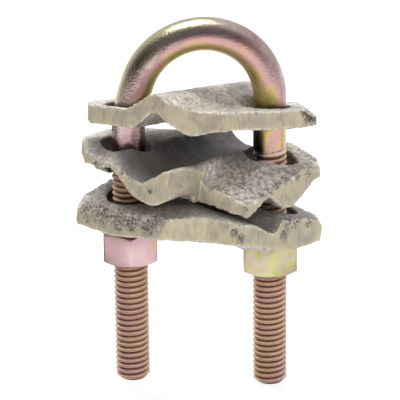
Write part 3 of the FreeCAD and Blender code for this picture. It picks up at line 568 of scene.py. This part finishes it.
def sheared_faces(node, local, level, near):
    """1 on the faces that stand upright on the outline, and on the middle plate's nose."""
    cut = (1 - ease(0.25, 0.5, level)) * (1 - ease(0.4 * MM, 0.8 * MM, near))
    if node == "middle_plate":
        run, across = along_and_across(local)
        nose = ease(8.6, 9.2, across) * (1 - ease(-10.6, -9.8, run))
        cut = np.maximum(cut, nose * (local[:, 2] > -9.0 * MM))
    return cut


def ease_skin(plate, near, times):
    """Smooth the skin, less and less towards the sharp rims of the sheared faces."""
    skin = plate.vertex_groups.new(name="skin")
    for i, weight in enumerate(ease(0.3 * MM, 1.8 * MM, near)):
        if weight > 0:
            skin.add([i], weight, "REPLACE")
    modify(plate, "SMOOTH", factor=0.5, iterations=times, vertex_group="skin")


def broken_places(node, local, pebbles):
    """Which vertices lie in a broken place, 0 to 1, and how far they are sunk."""
    scar = np.zeros(len(local))
    sunk = np.zeros(len(local))
    for middle, reach, depth in SCARS[node]:
        away = np.linalg.norm(local / MM - middle, axis=1) + SCAR_RAGGED * reach * pebbles
        inside = 1 - ease(SCAR_CORE * reach, reach, away)
        scar = np.maximum(scar, inside)
        sunk = np.maximum(sunk, inside * depth * MM)
    return scar, sunk


def dress_plate(node, name, voxel, pebble, smooth, seed):
    """Eased, pebbled, pitted and sheared skin, with what the bronze reads from it: which
    faces are sheared, the burr round them, broken places, dark patina with painted shade,
    and the pebbles' height."""
    plate = casting(node, name, voxel)
    own = plate_matrix(node)
    turn, middle = np.array(own.to_3x3()), np.array(own.translation)
    up = turn @ (0, 0, 1)
    modify(plate, "SMOOTH", factor=0.5, iterations=2)
    local = (places(plate) - middle) @ turn
    level = np.abs(normals(plate) @ up)
    near = from_outline(node, local)
    cut = sheared_faces(node, local, level, near)
    x, y = local[:, :2].T / MM
    bore = (np.hypot(np.abs(x) - HOLE_X, y) < HOLE_REACH) * (1 - level)
    ease_skin(plate, near, smooth)
    lumps = grain(local, LUMP_SIZE, seed, 3)
    pebbles = grain(local, PEBBLE_SIZE, seed + 5, 2)
    scar, sunk = broken_places(node, local, pebbles)
    # dark patina in the seats, and painted shade under the plates above and near the holes
    smut_and_painted_shade = patina_and_shade_marks(node, local) * (normals(plate) @ up > 0.1) * (1 - cut)
    edge = spread_out(plate, cut, 3)
    burr = 4 * edge * (1 - edge)
    coarse = 1.0
    if node == "middle_plate":
        # its right arm is the coarsest
        run, across = along_and_across(local)
        coarse = 1.0 + 0.9 * ease(9.0, 13.0, across)
    relief = (1 - cut) * (LUMP_RISE * lumps + (1 - 0.8 * smut_and_painted_shade) * coarse * pebble * pebbles)
    relief += cut * SHEAR_RISE * lumps + burr * BURR_RISE * (pebbles + 0.3)
    roughen(plate, relief - sunk * (0.75 + 0.5 * pebbles))
    shaped = worn_shape(node, (places(plate) - middle) @ turn)
    move_to(plate, shaped @ turn.T + middle)
    paint(plate, "sheared", cut * (1 - scar))
    paint(plate, "burr", burr * (1 - scar))
    paint(plate, "scar", scar)
    # the hole walls are painted dark too, as painted shade
    paint(plate, "smut_and_painted_shade", np.maximum(spread_out(plate, smut_and_painted_shade, 4), 0.9 * bore))
    paint(plate, "pebble", 0.5 * coarse * pebbles * (1 - cut))
    take(plate)
    bpy.ops.object.shade_smooth()
    return plate


def add(tree, kind, inputs=None, stops=None, **settings):
    """Add a node with its settings; an input takes a value or another node's output.
    Inputs that share a name go by number: Math has its two values at 0 and 1, Mix has its
    share at 0, two numbers at 2 and 3 and two colours at 6 and 7."""
    made = tree.nodes.new("ShaderNode" + kind)
    for key, value in settings.items():
        setattr(made, key, value)
    for key, value in (inputs or {}).items():
        if isinstance(value, bpy.types.NodeSocket):
            tree.links.new(value, made.inputs[key])
        else:
            made.inputs[key].default_value = value
    if stops:
        ramp = made.color_ramp.elements
        while len(ramp) < len(stops):
            ramp.new(0.5)
        for element, (place, colour) in zip(ramp, stops):
            element.position = place
            element.color = to_linear(colour)
    return made


def new_material(name):
    """An empty material and its node tree."""
    material = bpy.data.materials.new(name)
    material.use_nodes = True
    material.node_tree.nodes.clear()
    return material, material.node_tree


def read_marks(tree, *marks):
    """Outputs of the vertex attributes with these names."""
    return {mark: add(tree, "Attribute", attribute_name=mark).outputs["Fac"] for mark in marks}


def yellow_zinc(name, hues, patch, roughness):
    """Yellow chromated zinc: a thin clear film over bright plate, so it shines like metal
    and drifts in patches between gold, pink and green. The thread is duller: reddish on
    its crests, with a painted highlight on their upper shoulders and painted shade, near
    black, in the roots. The legs' inner sides between the plates get painted shade too."""
    material, tree = new_material(name)
    here = add(tree, "TexCoord").outputs["Object"]
    marks = read_marks(tree, "hue", "groove", "smut_and_painted_shade")
    drift = add(tree, "TexNoise", {"Vector": here, "Scale": 1 / patch, "Detail": 3.0,
                                   "Roughness": 0.5, "Distortion": 0.3})
    shift = add(tree, "MapRange", {"Value": marks["hue"], "From Min": -1.0, "From Max": 1.0,
                                   "To Min": -0.3, "To Max": 0.3})
    tone = add(tree, "Math", {0: drift.outputs["Fac"], 1: shift.outputs[0]}, operation="ADD")
    film = add(tree, "ValToRGB", {"Fac": tone.outputs[0]}, stops=hues)
    # thread colour: pale painted highlight on the upper shoulders, reddish film on the crests,
    # painted shade near black in the roots
    thread = add(tree, "ValToRGB", {"Fac": marks["groove"]},
                 stops=[(0.3, "#EADDCA"), (0.62, "#9E6957"), (0.72, "#916052"), (1.0, "#2F231F")])
    threaded = add(tree, "MapRange", {"Value": marks["groove"], "From Max": 0.3,
                                      "To Min": 0.0, "To Max": 0.8})
    colour = add(tree, "Mix", {0: threaded.outputs[0], 6: film.outputs[0], 7: thread.outputs[0]},
                 data_type="RGBA")
    # painted shade: the legs' inner sides between the plates are darkened towards near black
    painted_shade_between_plates = add(tree, "Mix", {0: marks["smut_and_painted_shade"], 6: colour.outputs[2], 7: to_linear("#3E3536")},
                data_type="RGBA")
    speckle = add(tree, "TexNoise", {"Vector": here, "Scale": 1 / ZINC_SPECK, "Detail": 3.0})
    bump = add(tree, "Bump", {"Height": speckle.outputs["Fac"], "Strength": 0.9,
                              "Distance": 0.12 * MM})
    gloss = add(tree, "MapRange", {"Value": drift.outputs["Fac"], "From Min": 0.3,
                                   "From Max": 0.7, "To Min": roughness - 0.05,
                                   "To Max": roughness + 0.08})
    thread_gloss = add(tree, "Mix", {0: marks["groove"], 2: gloss.outputs[0], 3: 0.35},
                       data_type="FLOAT")
    dull = add(tree, "MapRange", {"Value": threaded.outputs[0], "From Max": 0.8,
                                  "To Min": 1.0, "To Max": 0.55})
    shader = add(tree, "BsdfPrincipled", {"Base Color": painted_shade_between_plates.outputs[2],
                                          "Metallic": dull.outputs[0],
                                          "Roughness": thread_gloss.outputs[0],
                                          "Normal": bump.outputs[0]})
    add(tree, "OutputMaterial", {"Surface": shader.outputs[0]})
    return material


def sand_cast_bronze():
    """Bronze cast in sand: a dull grey pebbled skin with pale specks painted as glints, its
    pebbles painted paler on top as highlight and darker between as shade, near black and
    smooth in the seats and near the holes as dark patina and painted shade, dark and
    crumbly where it broke, satin khaki where the edges were sheared, streaked along the
    shear, and bright burrs that are partly wear and partly painted highlight."""
    material, tree = new_material("sand_cast_bronze")
    here = add(tree, "TexCoord").outputs["Object"]
    marks = read_marks(tree, "sheared", "burr", "scar", "smut_and_painted_shade", "pebble")
    # cast skin: grey clouds with fine specks; the pebbles' tops are painted paler as highlight
    # and the hollows between them darker as shade
    broad = add(tree, "TexNoise", {"Vector": here, "Scale": 1 / SKIN_CLOUD, "Detail": 4.0,
                                   "Roughness": 0.6})
    skin = add(tree, "ValToRGB", {"Fac": broad.outputs["Fac"]},
               stops=[(0.3, "#A5A099"), (0.5, "#B8B3AB"), (0.7, "#CAC4BA")])
    fine = add(tree, "TexNoise", {"Vector": here, "Scale": 1 / SAND_GRAIN, "Detail": 3.0,
                                  "Roughness": 0.65})
    # the pale specks are painted glints
    specks = add(tree, "ValToRGB", {"Fac": fine.outputs["Fac"]},
                 stops=[(0.36, "#4E4945"), (0.47, "#7F7F7F"), (0.6, "#8A8A86"), (0.7, "#E6E2D8")])
    flecked = add(tree, "Mix", {0: 0.55, 6: skin.outputs[0], 7: specks.outputs[0]},
                  data_type="RGBA", blend_type="OVERLAY")
    # painted highlight and shade: the skin is scaled brighter on the pebbles' tops and darker
    # between them
    crest = add(tree, "MapRange", {"Value": marks["pebble"], "From Min": -0.35,
                                   "From Max": 0.45, "To Min": 0.58, "To Max": 1.26})
    raised = add(tree, "VectorMath", {0: flecked.outputs[2], "Scale": crest.outputs[0]},
                 operation="SCALE")
    # seats: dark patina, with painted shade under the plates above and in the holes
    dark = add(tree, "Math", {0: marks["smut_and_painted_shade"], 1: 0.9}, operation="MULTIPLY")
    skin_with_patina_and_shade = add(tree, "Mix", {0: dark.outputs[0], 6: raised.outputs[0],
                               7: to_linear("#3F3C3D")}, data_type="RGBA")
    # sheared faces: upright streaks under patches that are greyer or more yellow
    streak_space = add(tree, "Mapping", {"Vector": here, "Scale": (1.0, 1.0, 1 / STREAK_STRETCH)})
    streaks = add(tree, "TexNoise", {"Vector": streak_space.outputs[0],
                                     "Scale": 1 / SHEAR_STREAK, "Detail": 3.0,
                                     "Roughness": 0.6})
    shear = add(tree, "ValToRGB", {"Fac": streaks.outputs["Fac"]},
                stops=[(0.3, "#867C68"), (0.5, "#A0957E"), (0.72, "#BCB197")])
    patches = add(tree, "TexNoise", {"Vector": here, "Scale": 1 / SHEAR_PATCH, "Detail": 3.0})
    tint = add(tree, "ValToRGB", {"Fac": patches.outputs["Fac"]},
               stops=[(0.35, "#857E78"), (0.5, "#9B9585"), (0.68, "#AAA17C")])
    satin = add(tree, "Mix", {0: 0.58, 6: shear.outputs[0], 7: tint.outputs[0]},
                data_type="RGBA")
    body = add(tree, "Mix", {0: marks["sheared"], 6: skin_with_patina_and_shade.outputs[2], 7: satin.outputs[2]},
               data_type="RGBA")
    # broken places, and bright burrs: partly rubbed by wear, partly a painted highlight along
    # their rims
    broken = add(tree, "ValToRGB", {"Fac": fine.outputs["Fac"]},
                 stops=[(0.38, "#2E2927"), (0.5, "#766E66"), (0.64, "#B0A99D")])
    torn = add(tree, "Math", {0: marks["scar"], 1: 0.92}, operation="MULTIPLY")
    pitted = add(tree, "Mix", {0: torn.outputs[0], 6: body.outputs[2], 7: broken.outputs[0]},
                 data_type="RGBA")
    # bright flecks along the burrs: wear mixed with a painted highlight
    worn = add(tree, "MapRange", {"Value": fine.outputs["Fac"], "From Min": 0.42,
                                  "From Max": 0.62, "To Min": 0.0, "To Max": 0.6})
    bright = add(tree, "Math", {0: worn.outputs[0], 1: marks["burr"]}, operation="MULTIPLY",
                 use_clamp=True)
    colour = add(tree, "Mix", {0: bright.outputs[0], 6: pitted.outputs[2],
                               7: to_linear("#D6CEB8")}, data_type="RGBA")
    rough = add(tree, "MapRange", {"Value": marks["sheared"], "To Min": 0.5, "To Max": 0.44})
    metal = add(tree, "MapRange", {"Value": marks["sheared"], "To Min": 0.3, "To Max": 0.45})
    grit = add(tree, "Mix", {0: marks["sheared"], 2: fine.outputs["Fac"],
                             3: streaks.outputs["Fac"]}, data_type="FLOAT")
    bump = add(tree, "Bump", {"Height": grit.outputs[0], "Strength": 0.6, "Distance": 0.1 * MM})
    shader = add(tree, "BsdfPrincipled", {"Base Color": colour.outputs[2],
                                          "Metallic": metal.outputs[0],
                                          "Roughness": rough.outputs[0],
                                          "Normal": bump.outputs[0]})
    add(tree, "OutputMaterial", {"Surface": shader.outputs[0]})
    return material


def wear(obj, material):
    """Give obj this material and no other."""
    obj.data.materials.clear()
    obj.data.materials.append(material)


rod_zinc = yellow_zinc("yellow_zinc_rod", [(0.2, "#D0CAA6"), (0.31, "#D4C6BA"), (0.45, "#BD9CA0"),
                                          (0.56, "#D0A59A"), (0.67, "#CDB880"), (0.8, "#BBAA68")],
                       ROD_PATCH, roughness=0.2)
pink_zinc = yellow_zinc("yellow_zinc_pink_nut",
                        [(0.35, "#DDBFC0"), (0.5, "#D9B3BC"), (0.65, "#D6BCA4")],
                        PINK_PATCH, roughness=0.33)
green_zinc = yellow_zinc("yellow_zinc_green_nut",
                         [(0.3, "#D0CC7A"), (0.45, "#CFCF9E"), (0.55, "#D9C2B4"),
                          (0.7, "#C9CE70")], GREEN_PATCH, roughness=0.33)
bronze = sand_cast_bronze()

bolt = u_bolt()
wear(bolt, rod_zinc)
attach(bolt, "u_bolt")
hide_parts("u_bolt")

for side, node, finish, slot_name in ((-1, "left_nut", pink_zinc, "plated_nut_left"),
                                      (1, "right_nut", green_zinc, "plated_nut_right")):
    nut = hex_nut(side, node)
    wear(nut, finish)
    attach(nut, node)
    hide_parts(node)

# Width of the skin's faces, height of its pebbles, rounds of smoothing and the noise's seed
for node, name, voxel, pebble, smooth, seed in (
        ("top_plate", "top_casting", 0.34 * MM, 0.08 * MM, 14, 3.0),
        ("middle_plate", "middle_casting", 0.38 * MM, 0.12 * MM, 24, 11.0),
        ("bottom_plate", "bottom_casting", 0.38 * MM, 0.13 * MM, 20, 23.0)):
    plate = dress_plate(node, name, voxel, pebble, smooth, seed)
    wear(plate, bronze)
    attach(plate, node)
    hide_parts(node)

# Paper floor just under the longer leg. The camera and mirror images see it near white,
# with the object's shadow left on it.
FLOOR_SIZE, FLOOR_GAP, FLOOR_GLOW = 6.0, 0.2 * MM, 0.85
deselect()
bpy.ops.mesh.primitive_plane_add(size=FLOOR_SIZE, location=(0, 0, LEG_ENDS[1] - FLOOR_GAP))
floor = named("floor")
paper, tree = new_material("white_paper")
path = add(tree, "LightPath")
seen = add(tree, "Math", {0: path.outputs["Is Camera Ray"], 1: path.outputs["Is Glossy Ray"]},
           operation="MAXIMUM")
share = add(tree, "Math", {0: seen.outputs[0], 1: FLOOR_GLOW}, operation="MULTIPLY")
matt = add(tree, "BsdfDiffuse", {"Color": to_linear("#F2F1EF")})
glow = add(tree, "Emission", {"Color": (1, 1, 1, 1), "Strength": 1.0})
both = add(tree, "MixShader", {0: share.outputs[0], 1: matt.outputs[0], 2: glow.outputs[0]})
add(tree, "OutputMaterial", {"Surface": both.outputs[0]})
wear(floor, paper)

# Dark cards on the floor, behind on the left and beside the right leg. Only mirror images
# show them, as the dark bands down the legs. Middle and size are in millimetres.
slate, tree = new_material("grey_card")
card_matt = add(tree, "BsdfDiffuse", {"Color": to_linear("#3A3432")})
add(tree, "OutputMaterial", {"Surface": card_matt.outputs[0]})
for name, (x, y), size in (("left_card", (-245, 140), (400, 320)),
                           ("right_card", (245, -10), (400, 30))):
    deselect()
    bpy.ops.mesh.primitive_plane_add(size=MM, location=(x * MM, y * MM, LEG_ENDS[1]))
    card = named(name)
    card.scale = (*size, 1.0)
    card.visible_camera = card.visible_diffuse = card.visible_shadow = False
    wear(card, slate)

# Soft light all round but for a darker room in front and to the left, which the rod mirrors
# as its dark band
AHEAD, ASIDE = (0.0, -0.72, 0.45), (-0.86, -0.46, 0.2)
WORLD_STRENGTH = 0.78
world = bpy.data.worlds.new("studio")
bpy.context.scene.world = world
world.use_nodes = True
tree = world.node_tree
tree.nodes.clear()
direction = add(tree, "TexCoord").outputs["Generated"]
ahead, aside = [add(tree, "VectorMath", {0: direction, 1: way}, operation="DOT_PRODUCT")
                for way in (AHEAD, ASIDE)]
darker = add(tree, "Math", {0: ahead.outputs["Value"], 1: aside.outputs["Value"]},
             operation="MAXIMUM")
room = add(tree, "ValToRGB", {"Fac": darker.outputs[0]},
           stops=[(0.0, "#F0F0F0"), (0.53, "#E4E4E4"), (0.62, "#958C8F"), (0.85, "#7C7376"),
                  (0.98, "#3E3638")])
background = add(tree, "Background", {"Color": room.outputs[0], "Strength": WORLD_STRENGTH})
add(tree, "OutputWorld", {"Surface": background.outputs[0]})

# Soft boxes turned to the plates: place and size in metres, power in watts, and whether
# mirror images show the lamp. The weak strip is the highlight along the rod. The others
# light the castings and would leave streaks on the rod.
for name, place, size, power, mirrored in (
        ("strip", (-0.05, 0.14, 0.7), 0.36, 2.4, True),
        ("overhead", (-0.05, 0.15, 0.7), 0.5, 9.0, False),
        ("key", (0.1, -0.6, 0.45), 0.5, 5.8, False),
        ("back", (-0.35, 0.5, 0.35), 0.5, 5.0, False)):
    deselect()
    bpy.ops.object.light_add(type="AREA", location=place)
    lamp = bpy.context.object
    lamp.name = lamp.data.name = name
    lamp.data.size = size
    lamp.data.energy = power
    lamp.visible_glossy = mirrored
    aim = Vector((0, 0, -20 * MM)) - Vector(place)
    lamp.rotation_euler = aim.to_track_quat("-Z", "Y").to_euler()

# Camera: left of the front and above, long lens, as the photograph
TURN, RISE, ROLL = math.radians(7.5), math.radians(20.0), math.radians(-0.6)
DISTANCE, TARGET = 680 * MM, Vector((0, 0, -19.5 * MM))
FOCAL_PIXELS, FRAME_PIXELS, SENSOR = 2539.8, 400, 36.0
away = Vector((-math.sin(TURN) * math.cos(RISE), -math.cos(TURN) * math.cos(RISE),
               math.sin(RISE)))
deselect()
bpy.ops.object.camera_add(location=TARGET + away * DISTANCE)
camera = bpy.context.object
camera.rotation_euler = ((-away).to_track_quat("-Z", "Y")
                         @ Quaternion((0, 0, 1), ROLL)).to_euler()
camera.data.sensor_width = SENSOR
camera.data.lens = FOCAL_PIXELS / FRAME_PIXELS * SENSOR
camera.data.clip_start = 0.01
bpy.context.scene.camera = camera
bpy.context.scene.view_settings.view_transform = "Standard"
